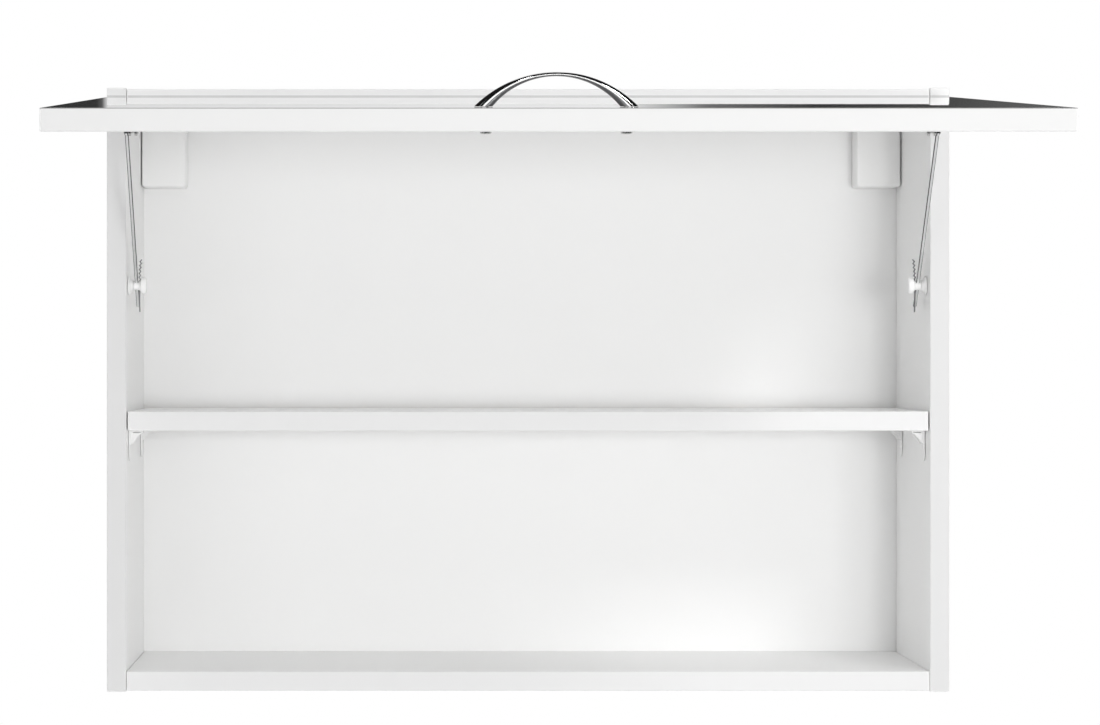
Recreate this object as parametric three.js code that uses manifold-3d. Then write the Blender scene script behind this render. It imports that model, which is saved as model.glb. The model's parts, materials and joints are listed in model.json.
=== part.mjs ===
// Wall cabinet with a lift-up flap door, modelled in millimetres.
// +X is to the right and +Z is up for someone facing the cabinet, whose front faces -Y.
// The origin is on the wall plane, at the middle of the top panel's rear edge.
// The door stands open, as far as its stays let it go.

import * as THREE from 'three';
import * as BufferGeometryUtils from 'three/addons/utils/BufferGeometryUtils.js';
import Module from 'manifold-3d';

const wasm = await Module();
wasm.setup();

// ---------------------------------------------------------------- driving dimensions

// carcass
const cabinetWidth = 700;
const cabinetHeight = 502;
const cabinetDepth = 200;
const boardThickness = 16;
const edgeRadius = 0.7;
const cornerRadius = 1.5;
const capInset = 1; // the sides stand this far past the top and bottom panels
const backThickness = 3;
const backSetback = 18.5; // from the wall to the rear face of the back panel
const grooveDepth = 6;
const fitGap = 0.3; // between pieces that touch
const overrun = 1; // how far a cut runs past the material

// corner fittings: a cam in the top or bottom panel draws in a bolt screwed into the side
const fittingInset = 37; // panel's front and rear edges to a cam's middle
const camRadius = 7.3;
const camHeight = 12;
const camReach = 24; // panel's end to the cam's middle
const camCrossLength = 7;
const camCrossWidth = 1.4;
const camCrossDepth = 2.5;
const boltBite = 10; // in the side panel
const boltThreadRadius = 2.5;
const boltCollarRadius = 3.6;
const boltCollarLength = 1.6;
const boltShankRadius = 2;
const boltHeadRadius = 3.2;
const boltHeadLength = 2.6;
const dowelRadius = 4;
const dowelLength = 30;
const dowelInSide = 10;
const dowelChamfer = 1;

// shelf and its supports
const shelfDrop = 269; // from the top of the sides to the shelf's upper face
const shelfSideGap = 1;
const shelfSetback = 2;
const supportWidth = 14;
const supportHeight = 26;
const supportPlate = 2;
const supportLedge = 11;
const supportGusset = 2;
const supportGussetLip = 0.5; // the ledge stands this far past its gussets
const supportPinRadius = 2.5;
const supportPinLength = 8;
const supportPinDrop = 14; // shelf's underside to the pin
const supportInset = 30; // from the front plane, and from the back panel, to a support's middle

// door and handle
const doorReveal = 2; // door edge to carcass edge, all round
const doorStandoff = 3; // closed door's inner face to the carcass front
const openAngle = 84.4;
const pivotForward = 17; // hinge axis in front of the carcass front
const pivotDrop = 11; // hinge axis below the top of the sides
const handleCentres = 96;
const handleFootOutside = 8; // screw's middle to the foot's outer end
const handleFootInside = 4.5; // screw's middle to the foot's inner end
const handleRise = 23.4;
const handleCrown = 3; // the bow's thickness at its crown
const handleWidth = 12;
const handleRound = 2.4;
const handleEase = 1.1;
const handleFromEdge = 36; // door's lower edge to the handle's middle
const screwRadius = 2;
const screwHeadRadius = 4;
const screwHeadHeight = 2.4;
const screwBite = 3.4; // how far a screw reaches into a handle foot
const holeClearance = 0.4;

// concealed hinges
const hingeInset = 110; // side panel's inner face to a hinge's middle
const cupRadius = 17.5;
const cupDepth = 11.5;
const cupWall = 1.2;
const cupEdgeDistance = 5; // door's upper edge to the cup
const cupRim = 1.2;
const cupFlange = 1.5; // the rim's overhang round the bowl
const cupEarSpacing = 45;
const cupEarRadius = 5.5;
const cupEarSetback = 9; // cup's middle to its ears, away from the door's edge
const cupScrewRadius = 2;
const hingePlateLength = 36;
const hingePlateWidth = 44;
const hingePlateThickness = 2.7;
const hingePlateSetback = 22; // front plane to the plate's front edge
const hingeWingDepth = 15;
const hingeWingRound = 5;
const hingeWingHoles = 32; // between the plate's two screws
const hingeWingHoleRadius = 2.3;
const hingeRibDrop = 7;
const hingeRibInset = 4; // plate's ends to the rib's
const hingeArmWidth = 14;
const hingeArmWall = 1.6;
const hingeArmHeight = 11;
const armNeck = 6; // front plane to where the arm's upper edge drops to the nose
const armThroat = 14; // front plane to where its lower edge does
const linkWidth = 9;
const linkThickness = 2.8;
const cupPinDepth = 4; // door's inner face to the link's pin
const cupPinOffset = 12; // cup's middle to the link's pin
const noseReach = 26; // hinge axis to the pin in the arm's nose
const noseRadius = 3.8;
const noseClearance = 6; // the nose's slot, past the nose
const elbowSetback = 2.3; // link's elbow behind its pin in the open cup
const elbowRise = 3; // link's elbow above the pin in the nose
const linkTipGap = 1.2; // cup's pin to the link's end

// stays
const stayPlane = 7.3; // side panel's inner face to the rod's middle
const rodRadius = 1.5;
const stayTail = 22; // rod below the hub while the door is open
const hubSetback = 20;
const hubDrop = 164;
const hubBaseRadius = 8;
const hubBaseRim = 1.2;
const hubBaseHeight = 4.4;
const hubNeckRadius = 3.6;
const hubCapRadius = 7;
const hubCapHeight = 5.5;
const hubCapFlare = 1.9; // length over which the cap spreads from the neck
const hubCapRound = 2.1;
const hubWaist = 5.4; // slider's length from the base to its cap
const stayPinFromEdge = 74; // door's upper edge to the rod's pivot
const stayPinReach = 10.2; // door's inner face to the rod's pivot
const stayPinRadius = 2;
const stayPinHead = 0.8; // the pin stands this far past the eye
const eyeRadius = 4.2;
const eyeThickness = 2.6;
const bracketLength = 28;
const bracketWidth = 7;
const bracketPlate = 2;
const bracketRound = 3;
const bracketCheekFoot = 13;
const springHalfHeight = 22;
const springBow = 1.2;
const springThickness = 1;
const springWidth = 3;

// wall hangers
const hangerCoverWidth = 39;
const hangerCoverDepth = 31;
const hangerCoverHeight = 57.3;
const hangerCoverWall = 1.5;
const hangerCoverRound = 3;
const hangerCoverEase = 1;
const hangerBodyWidth = 27;
const hangerBodyHeight = 46;
const hangerBodyDepth = 24;
const hangerBodyGap = 1; // cover's inner face to the body's front
const hangerSheet = 2;
const hookWidth = 14;
const hookThickness = 3;
const hookTail = 6; // the hook's turned-down end inside the body
const hookLip = 12;
const hookWallGap = 4;
const notchWidth = 30;
const notchHeight = 50;

// ---------------------------------------------------------------- derived places

const innerHalf = cabinetWidth / 2 - boardThickness;
const capHalf = innerHalf - fitGap;
const frontY = -cabinetDepth;
const backFrontY = -backSetback - backThickness;
const topMiddleZ = -capInset - boardThickness / 2;
const topUnderZ = topMiddleZ - boardThickness / 2;
const bottomMiddleZ = -cabinetHeight + capInset + boardThickness / 2;
const bottomTopZ = bottomMiddleZ + boardThickness / 2;
const shelfTopZ = -shelfDrop;
const shelfUnderZ = shelfTopZ - boardThickness;
const openTurn = THREE.MathUtils.degToRad(openAngle);
const hingeX = innerHalf - hingeInset;
const doorHeight = cabinetHeight - 2 * doorReveal;
const doorWidth = cabinetWidth - 2 * doorReveal;
const doorInnerY = pivotForward - doorStandoff; // in the door's own frame, from the hinge axis
const doorOuterY = doorInnerY - boardThickness;
const doorTopZ = pivotDrop - doorReveal;

// ---------------------------------------------------------------- finishes

const finishes = {
    whiteBoard: new THREE.MeshStandardMaterial({ color: 0xf1f1f0, roughness: 0.45, metalness: 0 }),
    whiteGloss: new THREE.MeshStandardMaterial({ color: 0xf4f4f4, roughness: 0.08, metalness: 0 }),
    whitePlastic: new THREE.MeshStandardMaterial({ color: 0xe9e9e8, roughness: 0.35, metalness: 0 }),
    beech: new THREE.MeshStandardMaterial({ color: 0xc9a06c, roughness: 0.7, metalness: 0 }),
    chrome: new THREE.MeshStandardMaterial({ color: 0xd8dadd, roughness: 0.08, metalness: 1 }),
    steel: new THREE.MeshStandardMaterial({ color: 0xb4b7ba, roughness: 0.3, metalness: 1 }),
};

// ---------------------------------------------------------------- solids

function solidOf(geometry) {
    const bare = geometry.clone();
    bare.deleteAttribute('normal');
    bare.deleteAttribute('uv');
    const merged = BufferGeometryUtils.mergeVertices(bare, 1e-4);
    return new wasm.Manifold(new wasm.Mesh({
        numProp: 3,
        vertProperties: new Float32Array(merged.attributes.position.array),
        triVerts: new Uint32Array(merged.index.array),
    }));
}

function geometryOf(solid) {
    const mesh = solid.getMesh();
    const geometry = new THREE.BufferGeometry();
    geometry.setAttribute('position', new THREE.BufferAttribute(mesh.vertProperties, 3));
    geometry.setIndex(new THREE.BufferAttribute(mesh.triVerts, 1));
    geometry.computeVertexNormals();
    return geometry;
}

function cut(geometry, ...cutters) {
    let solid = solidOf(geometry);
    for (const cutter of cutters) {
        solid = solid.subtract(solidOf(cutter));
    }
    return geometryOf(solid);
}

function join(geometry, ...others) {
    let solid = solidOf(geometry);
    for (const other of others) {
        solid = solid.add(solidOf(other));
    }
    return geometryOf(solid);
}

// A box between two opposite corners, given in any order.
function block([x0, y0, z0], [x1, y1, z1]) {
    const box = new THREE.BoxGeometry(Math.abs(x1 - x0), Math.abs(y1 - y0), Math.abs(z1 - z0));
    return box.translate((x0 + x1) / 2, (y0 + y1) / 2, (z0 + z1) / 2);
}

// A cylinder along X between two x values.
function rodAlongX(radius, x0, x1, y, z, sides = 20) {
    const rod = new THREE.CylinderGeometry(radius, radius, Math.abs(x1 - x0), sides);
    return rod.rotateZ(Math.PI / 2).translate((x0 + x1) / 2, y, z);
}

// A cylinder along Y between two y values.
function rodAlongY(radius, y0, y1, x, z, sides = 20) {
    const rod = new THREE.CylinderGeometry(radius, radius, Math.abs(y1 - y0), sides);
    return rod.translate(x, (y0 + y1) / 2, z);
}

// A cylinder along Z between two z values.
function rodAlongZ(radius, z0, z1, x, y, sides = 12) {
    const rod = new THREE.CylinderGeometry(radius, radius, Math.abs(z1 - z0), sides);
    return rod.rotateX(Math.PI / 2).translate(x, y, (z0 + z1) / 2);
}

// A turned piece from [radius, height] steps, closed on its axis, which is local Y.
function turnedPiece(steps, sides) {
    return new THREE.LatheGeometry(steps.map(([radius, height]) => new THREE.Vector2(radius, height)), sides);
}

// A rectangle with rounded corners, centred on the origin.
function roundedRectangle(width, height, radius) {
    const x = width / 2;
    const y = height / 2;
    const shape = new THREE.Shape();
    shape.moveTo(-x + radius, -y);
    shape.lineTo(x - radius, -y);
    shape.absarc(x - radius, -y + radius, radius, -Math.PI / 2, 0);
    shape.absarc(x - radius, y - radius, radius, 0, Math.PI / 2);
    shape.absarc(-x + radius, y - radius, radius, Math.PI / 2, Math.PI);
    shape.absarc(-x + radius, -y + radius, radius, Math.PI, Math.PI * 1.5);
    return shape;
}

// An edged board lying in local XY, centred on the origin, its arrises eased.
function easedBoard(width, height, thickness) {
    return new THREE.ExtrudeGeometry(roundedRectangle(width, height, cornerRadius), {
        depth: thickness - 2 * edgeRadius,
        bevelThickness: edgeRadius,
        bevelSize: edgeRadius,
        bevelOffset: -edgeRadius,
        bevelSegments: 2,
        curveSegments: 2,
    }).translate(0, 0, -thickness / 2 + edgeRadius);
}

// An outline drawn in the Y-Z plane, extruded along X and centred on x = 0.
function extrudeAlongX(shape, width, curveSegments = 8) {
    const geometry = new THREE.ExtrudeGeometry(shape, { depth: width, bevelEnabled: false, curveSegments });
    geometry.translate(0, 0, -width / 2);
    // local (x, y, z) becomes (z, x, y)
    return geometry.applyMatrix4(new THREE.Matrix4().makeBasis(
        new THREE.Vector3(0, 1, 0),
        new THREE.Vector3(0, 0, 1),
        new THREE.Vector3(1, 0, 0),
    ));
}

function part(name, geometry, material) {
    const mesh = new THREE.Mesh(geometry, material);
    mesh.name = name;
    return mesh;
}

const sides = [
    { name: 'left', sign: -1 },
    { name: 'right', sign: 1 },
];

// The cabinet's own z is measured down from the top of the side panels.
const cabinet = new THREE.Group();
cabinet.position.z = -topMiddleZ;

// ---------------------------------------------------------------- corner fittings

// The two panels that lie between the sides, with the way their outer face looks.
const caps = [
    { place: 'top', z: topMiddleZ, outward: 1 },
    { place: 'bottom', z: bottomMiddleZ, outward: -1 },
];

const fittingRows = [
    { place: 'front', y: frontY + fittingInset },
    { place: 'rear', y: -fittingInset },
];

const dowelY = -cabinetDepth / 2;
const camX = capHalf - camReach;

function camHole(sign, y, cap) {
    const face = cap.z + cap.outward * boardThickness / 2;
    const floor = face - cap.outward * (camHeight + 2 * fitGap);
    return rodAlongZ(camRadius + fitGap, face + cap.outward * overrun, floor, sign * camX, y);
}

// A turned cam with a driver's cross in its face and a pocket for the bolt's head.
function cam(sign, y, cap) {
    const face = cap.z + cap.outward * (boardThickness / 2 - fitGap);
    const drum = rodAlongZ(camRadius, face, face - cap.outward * camHeight, sign * camX, y);
    const crossFloor = face - cap.outward * camCrossDepth;
    const slots = [[camCrossLength, camCrossWidth], [camCrossWidth, camCrossLength]];
    const cross = slots.map(([along, across]) => block(
        [sign * camX - along / 2, y - across / 2, crossFloor],
        [sign * camX + along / 2, y + across / 2, face + cap.outward * overrun],
    ));
    const pocketEnds = [camX - boltHeadLength, camX + camRadius + overrun];
    const pocket = rodAlongX(
        boltHeadRadius + holeClearance, sign * pocketEnds[0], sign * pocketEnds[1], y, cap.z, 8,
    );
    return cut(drum, ...cross, pocket);
}

// The bolt, from its point in the side panel to its head in the cam.
function camBolt(sign, y, cap) {
    const collarFoot = boltCollarLength + fitGap;
    const headTop = camReach + boltHeadLength / 2;
    const bolt = turnedPiece([
        [0, -boltBite],
        [boltThreadRadius, -boltBite],
        [boltThreadRadius, fitGap],
        [boltCollarRadius, fitGap],
        [boltCollarRadius, collarFoot],
        [boltShankRadius, collarFoot],
        [boltShankRadius, headTop - boltHeadLength],
        [boltHeadRadius, headTop - boltHeadLength / 2],
        [boltHeadRadius, headTop],
        [0, headTop],
    ], 8);
    return bolt.rotateZ(sign * Math.PI / 2).translate(sign * innerHalf, y, cap.z);
}

function dowel(sign, cap) {
    const tip = dowelRadius - dowelChamfer;
    const pin = turnedPiece([
        [0, -dowelInSide],
        [tip, -dowelInSide],
        [dowelRadius, -dowelInSide + dowelChamfer],
        [dowelRadius, dowelLength - dowelInSide - dowelChamfer],
        [tip, dowelLength - dowelInSide],
        [0, dowelLength - dowelInSide],
    ], 12);
    return pin.rotateZ(sign * Math.PI / 2).translate(sign * innerHalf, dowelY, cap.z);
}

for (const cap of caps) {
    for (const { name, sign } of sides) {
        for (const { place, y } of fittingRows) {
            const corner = `${cap.place}_${place}_${name}`;
            cabinet.add(part(`cam_${corner}`, cam(sign, y, cap), finishes.steel));
            cabinet.add(part(`cam_bolt_${corner}`, camBolt(sign, y, cap), finishes.steel));
        }
        cabinet.add(part(`dowel_${cap.place}_${name}`, dowel(sign, cap), finishes.beech));
    }
}

// ---------------------------------------------------------------- carcass

// Middles of the front and rear shelf supports.
const supportRows = [
    { place: 'front', y: frontY + supportInset },
    { place: 'rear', y: backFrontY - supportInset },
];
const supportPinZ = shelfUnderZ - supportPinDrop;

const groove = { yLow: backFrontY - fitGap, yHigh: -backSetback + fitGap };

function sidePanel(sign) {
    const panel = easedBoard(cabinetDepth, cabinetHeight, boardThickness);
    panel.rotateX(Math.PI / 2).rotateZ(Math.PI / 2);
    panel.translate(sign * (innerHalf + boardThickness / 2), -cabinetDepth / 2, -cabinetHeight / 2);
    const drill = (radius, depth, y, z) => rodAlongX(
        radius, sign * (innerHalf - overrun), sign * (innerHalf + depth), y, z, 12,
    );
    const cutters = [block(
        [sign * (innerHalf - overrun), groove.yLow, -cabinetHeight - overrun],
        [sign * (innerHalf + grooveDepth), groove.yHigh, overrun],
    )];
    for (const { y } of supportRows) {
        cutters.push(drill(supportPinRadius + holeClearance, supportPinLength + overrun, y, supportPinZ));
    }
    for (const cap of caps) {
        cutters.push(drill(dowelRadius + fitGap, dowelInSide + overrun, dowelY, cap.z));
        for (const { y } of fittingRows) {
            cutters.push(drill(boltThreadRadius + fitGap, boltBite + overrun, y, cap.z));
        }
    }
    return cut(panel, ...cutters);
}

// The top or bottom panel: grooved inside for the back, bored at both ends for the fittings.
function capPanel(cap) {
    const panel = easedBoard(2 * capHalf, cabinetDepth, boardThickness);
    panel.translate(0, -cabinetDepth / 2, cap.z);
    const innerFace = cap.z - cap.outward * boardThickness / 2;
    const cutters = [block(
        [-capHalf - overrun, groove.yLow, innerFace - cap.outward * overrun],
        [capHalf + overrun, groove.yHigh, innerFace + cap.outward * grooveDepth],
    )];
    for (const { sign } of sides) {
        const bore = (radius, depth, y) => rodAlongX(
            radius, sign * (capHalf + overrun), sign * (capHalf - depth), y, cap.z, 12,
        );
        cutters.push(bore(dowelRadius + fitGap, dowelLength - dowelInSide, dowelY));
        for (const { y } of fittingRows) {
            cutters.push(camHole(sign, y, cap), bore(boltCollarRadius + holeClearance, camReach, y));
        }
    }
    return cut(panel, ...cutters);
}

// The back: a thin sheet in the grooves, its upper corners notched for the hangers.
function backPanel() {
    const halfWidth = innerHalf + grooveDepth - fitGap;
    const top = topUnderZ + grooveDepth - fitGap;
    const bottom = bottomTopZ - grooveDepth + fitGap;
    const notchX = innerHalf - notchWidth;
    const notchZ = topUnderZ - notchHeight;
    const outline = new THREE.Shape();
    outline.moveTo(-halfWidth, bottom);
    outline.lineTo(halfWidth, bottom);
    outline.lineTo(halfWidth, notchZ);
    outline.lineTo(notchX, notchZ);
    outline.lineTo(notchX, top);
    outline.lineTo(-notchX, top);
    outline.lineTo(-notchX, notchZ);
    outline.lineTo(-halfWidth, notchZ);
    outline.closePath();
    const panel = new THREE.ExtrudeGeometry(outline, { depth: backThickness, bevelEnabled: false });
    return panel.rotateX(Math.PI / 2).translate(0, backFrontY + backThickness, 0);
}

for (const { name, sign } of sides) {
    cabinet.add(part(`side_panel_${name}`, sidePanel(sign), finishes.whiteBoard));
}
for (const cap of caps) {
    cabinet.add(part(`${cap.place}_panel`, capPanel(cap), finishes.whiteBoard));
}
cabinet.add(part('back_panel', backPanel(), finishes.whiteBoard));

// ---------------------------------------------------------------- shelf

function shelfPanel() {
    const depth = cabinetDepth + backFrontY - 2 * shelfSetback;
    const width = 2 * (innerHalf - shelfSideGap);
    const board = easedBoard(width, depth, boardThickness);
    return board.translate(0, frontY + shelfSetback + depth / 2, shelfTopZ - boardThickness / 2);
}

// A moulded support: wall plate with a round foot, ledge, two gussets and a pin.
function shelfSupport(sign, y) {
    const wallX = innerHalf - fitGap;
    const topZ = shelfUnderZ - fitGap;
    const half = supportWidth / 2;
    const plateShape = new THREE.Shape();
    plateShape.moveTo(half, 0);
    plateShape.lineTo(-half, 0);
    plateShape.lineTo(-half, -supportHeight + half);
    plateShape.absarc(0, -supportHeight + half, half, Math.PI, 2 * Math.PI);
    plateShape.closePath();
    const plate = extrudeAlongX(plateShape, supportPlate);
    plate.translate(wallX - supportPlate / 2, 0, 0);
    const ledge = block(
        [wallX - supportLedge, -half, -supportPlate],
        [wallX - supportPlate / 2, half, 0],
    );
    const gussetShape = new THREE.Shape();
    gussetShape.moveTo(-supportPlate / 2, -supportPlate / 2);
    gussetShape.lineTo(-supportLedge + supportGussetLip, -supportPlate / 2);
    gussetShape.lineTo(-supportPlate / 2, -supportLedge);
    gussetShape.closePath();
    const gussets = [-half + supportGusset, half].map((gussetY) => {
        const gusset = new THREE.ExtrudeGeometry(gussetShape, { depth: supportGusset, bevelEnabled: false });
        return gusset.rotateX(Math.PI / 2).translate(wallX, gussetY, 0);
    });
    const pin = rodAlongX(
        supportPinRadius, wallX - supportPlate / 2, innerHalf + supportPinLength, 0, supportPinZ - topZ, 12,
    );
    const support = join(plate, ledge, ...gussets, pin);
    if (sign < 0) {
        support.rotateZ(Math.PI);
    }
    return support.translate(0, y, topZ);
}

cabinet.add(part('shelf', shelfPanel(), finishes.whiteBoard));
for (const { name, sign } of sides) {
    for (const { place, y } of supportRows) {
        cabinet.add(part(`shelf_support_${place}_${name}`, shelfSupport(sign, y), finishes.whitePlastic));
    }
}

// ---------------------------------------------------------------- wall hangers

const hangerCoverRearY = backFrontY - fitGap;
const hangerCoverFrontY = hangerCoverRearY - hangerCoverDepth;
const hangerCoverTopZ = topUnderZ - fitGap;
const hangerBodyFrontY = hangerCoverFrontY + hangerCoverWall + hangerBodyGap;
const hangerBodyTopZ = hangerCoverTopZ - hangerCoverWall - fitGap;
const hangerBodySideX = innerHalf - hangerCoverWall - 2 * fitGap;

// The cover: a thin moulded cap that hides the hanger, open to the rear.
function hangerCover(sign) {
    const x = sign * (innerHalf - fitGap - hangerCoverWidth / 2);
    const middleZ = hangerCoverTopZ - hangerCoverHeight / 2;
    const outer = new THREE.ExtrudeGeometry(
        roundedRectangle(hangerCoverWidth, hangerCoverHeight, hangerCoverRound),
        {
            depth: hangerCoverDepth,
            bevelThickness: hangerCoverEase,
            bevelSize: hangerCoverEase,
            bevelOffset: -hangerCoverEase,
            bevelSegments: 2,
            curveSegments: 4,
        },
    );
    // the rear bevel is trimmed off, so that the cap keeps its full depth and a square rear edge
    outer.rotateX(Math.PI / 2).translate(x, hangerCoverRearY + hangerCoverEase, middleZ);
    const rear = block(
        [x - hangerCoverWidth, hangerCoverRearY, middleZ - hangerCoverHeight],
        [x + hangerCoverWidth, hangerCoverRearY + 2 * hangerCoverEase + overrun, middleZ + hangerCoverHeight],
    );
    const halfWidth = hangerCoverWidth / 2 - hangerCoverWall;
    const halfHeight = hangerCoverHeight / 2 - hangerCoverWall;
    const hollow = block(
        [x - halfWidth, hangerCoverFrontY + hangerCoverWall, middleZ - halfHeight],
        [x + halfWidth, hangerCoverRearY + overrun, middleZ + halfHeight],
    );
    return cut(outer, rear, hollow);
}

// The hanger body: a folded steel box, open to the rear.
function hangerBody(sign) {
    const outerX = sign * hangerBodySideX;
    const innerX = sign * (hangerBodySideX - hangerBodyWidth);
    const footZ = hangerBodyTopZ - hangerBodyHeight;
    const rearY = hangerBodyFrontY + hangerBodyDepth;
    const shell = block([innerX, hangerBodyFrontY, footZ], [outerX, rearY, hangerBodyTopZ]);
    const hollow = block(
        [innerX + sign * hangerSheet, hangerBodyFrontY + hangerSheet, footZ + hangerSheet],
        [outerX - sign * hangerSheet, rearY + overrun, hangerBodyTopZ - hangerSheet],
    );
    return cut(shell, hollow);
}

// The hook: a flat bar through the back panel, turned down at both ends.
function hangerHook(sign) {
    const x = sign * (hangerBodySideX - hangerBodyWidth / 2);
    const frontEnd = hangerBodyFrontY + hangerSheet + hangerBodyGap;
    const rearEnd = -hookWallGap;
    const top = hangerBodyTopZ - hangerBodyHeight / 2;
    const under = top - hookThickness;
    const outline = new THREE.Shape();
    outline.moveTo(frontEnd, top - hookTail);
    outline.lineTo(frontEnd + hookThickness, top - hookTail);
    outline.lineTo(frontEnd + hookThickness, under);
    outline.lineTo(rearEnd - hookThickness, under);
    outline.lineTo(rearEnd - hookThickness, top - hookLip);
    outline.lineTo(rearEnd, top - hookLip);
    outline.lineTo(rearEnd, under);
    outline.absarc(rearEnd - hookThickness, under, hookThickness, 0, Math.PI / 2);
    outline.lineTo(frontEnd, top);
    outline.closePath();
    return extrudeAlongX(outline, hookWidth, 4).translate(x, 0, 0);
}

for (const { name, sign } of sides) {
    cabinet.add(part(`hanger_cover_${name}`, hangerCover(sign), finishes.whitePlastic));
    cabinet.add(part(`hanger_body_${name}`, hangerBody(sign), finishes.steel));
    cabinet.add(part(`hanger_hook_${name}`, hangerHook(sign), finishes.steel));
}

// ---------------------------------------------------------------- flap door

// Everything in this group is placed as on the closed door, from the hinge axis.
const door = new THREE.Group();
door.position.set(0, frontY - pivotForward, -pivotDrop);
door.rotation.x = -openTurn;
cabinet.add(door);

const handleZ = doorTopZ - doorHeight + handleFromEdge;
const handleScrewX = handleCentres / 2;
const cupZ = doorTopZ - cupEdgeDistance - cupRadius;

function doorPanel() {
    const board = easedBoard(doorWidth, doorHeight, boardThickness);
    board.rotateX(Math.PI / 2);
    board.translate(0, doorInnerY - boardThickness / 2, doorTopZ - doorHeight / 2);
    const cutters = [];
    for (const { sign } of sides) {
        const bore = (radius, depth, x, z, facets) => rodAlongY(
            radius, doorInnerY - depth, doorInnerY + overrun, sign * x, z, facets,
        );
        cutters.push(bore(screwRadius + holeClearance, boardThickness + overrun, handleScrewX, handleZ, 12));
        cutters.push(bore(cupRadius + fitGap, cupDepth + fitGap, hingeX, cupZ, 36));
    }
    return cut(board, ...cutters);
}

// Circle through (-chord/2, 0), (0, rise) and (chord/2, 0).
function bowCircle(chord, rise) {
    const radius = (chord * chord / 4 + rise * rise) / (2 * rise);
    return { radius, centre: rise - radius, half: Math.asin(chord / 2 / radius) };
}

// The bow handle, thick at its feet and thin at the crown.
function bowHandle() {
    const outer = bowCircle(handleCentres + 2 * handleFootOutside, handleRise);
    const inner = bowCircle(handleCentres - 2 * handleFootInside, handleRise - handleCrown);
    const outline = new THREE.Shape();
    outline.absarc(0, outer.centre, outer.radius, Math.PI / 2 - outer.half, Math.PI / 2 + outer.half);
    outline.absarc(0, inner.centre, inner.radius, Math.PI / 2 + inner.half, Math.PI / 2 - inner.half, true);
    outline.closePath();
    const bow = new THREE.ExtrudeGeometry(outline, {
        depth: handleWidth - 2 * handleRound,
        bevelThickness: handleRound,
        bevelSize: handleEase,
        bevelOffset: -handleEase,
        bevelSegments: 3,
        curveSegments: 20,
    });
    // local (x, y, z) becomes (x, -y, z) in the door's frame: the bow stands off the outer face
    bow.translate(0, 0, -handleWidth / 2 + handleRound);
    bow.applyMatrix4(new THREE.Matrix4().makeBasis(
        new THREE.Vector3(1, 0, 0),
        new THREE.Vector3(0, -1, 0),
        new THREE.Vector3(0, 0, -1),
    ));
    bow.translate(0, doorOuterY - fitGap, handleZ);
    const holeEnd = doorOuterY - screwBite - fitGap;
    const holes = sides.map(({ sign }) => rodAlongY(
        screwRadius + holeClearance, holeEnd, doorOuterY + overrun, sign * handleScrewX, handleZ, 12,
    ));
    return cut(bow, ...holes);
}

// A pan-head screw through the door into a handle foot.
function handleScrew(sign) {
    const crown = fitGap + screwHeadHeight;
    const tip = -boardThickness - screwBite;
    const screw = turnedPiece([
        [0, tip],
        [screwRadius, tip],
        [screwRadius, fitGap],
        [screwHeadRadius, fitGap],
        [screwHeadRadius, fitGap + screwHeadHeight / 2],
        [screwHeadRadius - screwHeadHeight / 4, crown - screwHeadHeight / 6],
        [screwHeadRadius / 2, crown],
        [0, crown],
    ], 16);
    return screw.translate(sign * handleScrewX, doorInnerY, handleZ);
}

door.add(part('door_panel', doorPanel(), finishes.whiteGloss));
door.add(part('handle', bowHandle(), finishes.chrome));
for (const { name, sign } of sides) {
    door.add(part(`handle_screw_${name}`, handleScrew(sign), finishes.steel));
}

// ---------------------------------------------------------------- concealed hinges

// The pressed cup with its flange: an open bowl let into the door, two screw ears beside it.
function hingeCup(sign) {
    const x = sign * hingeX;
    const earZ = cupZ - cupEarSetback;
    const floorY = doorInnerY - cupDepth;
    const rimFoot = doorInnerY + fitGap;
    const rimTop = rimFoot + cupRim;
    const bowl = rodAlongY(cupRadius, floorY, rimTop, x, cupZ, 36);
    const rim = rodAlongY(cupRadius + cupFlange, rimFoot, rimTop, x, cupZ, 36);
    const earXs = [x - cupEarSpacing / 2, x + cupEarSpacing / 2];
    const ears = earXs.map((earX) => rodAlongY(cupEarRadius, rimFoot, rimTop, earX, earZ, 16));
    const web = block([earXs[0], rimFoot, earZ - cupEarRadius], [earXs[1], rimTop, earZ + cupEarRadius]);
    const hollow = rodAlongY(cupRadius - cupWall, floorY + cupWall, rimTop + overrun, x, cupZ, 36);
    const holes = earXs.map((earX) => rodAlongY(
        cupScrewRadius, rimFoot - overrun, rimTop + overrun, earX, earZ, 12,
    ));
    return cut(join(bowl, rim, web, ...ears), hollow, ...holes);
}

// Where the link is pinned: in the cup, and at the arm's nose, which is as far from the pin
// with the door shut as with it open.
const cupPin = new THREE.Vector2(doorInnerY - cupPinDepth, cupZ + cupPinOffset);

function turned(point, angle) {
    return point.clone().rotateAround(new THREE.Vector2(0, 0), angle);
}

const axisPoint = new THREE.Vector2(frontY - pivotForward, -pivotDrop);
const cupPinOpen = turned(cupPin, -openTurn).add(axisPoint);
const nosePin = turned(cupPin, -openTurn / 2).setLength(noseReach).add(axisPoint);

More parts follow.
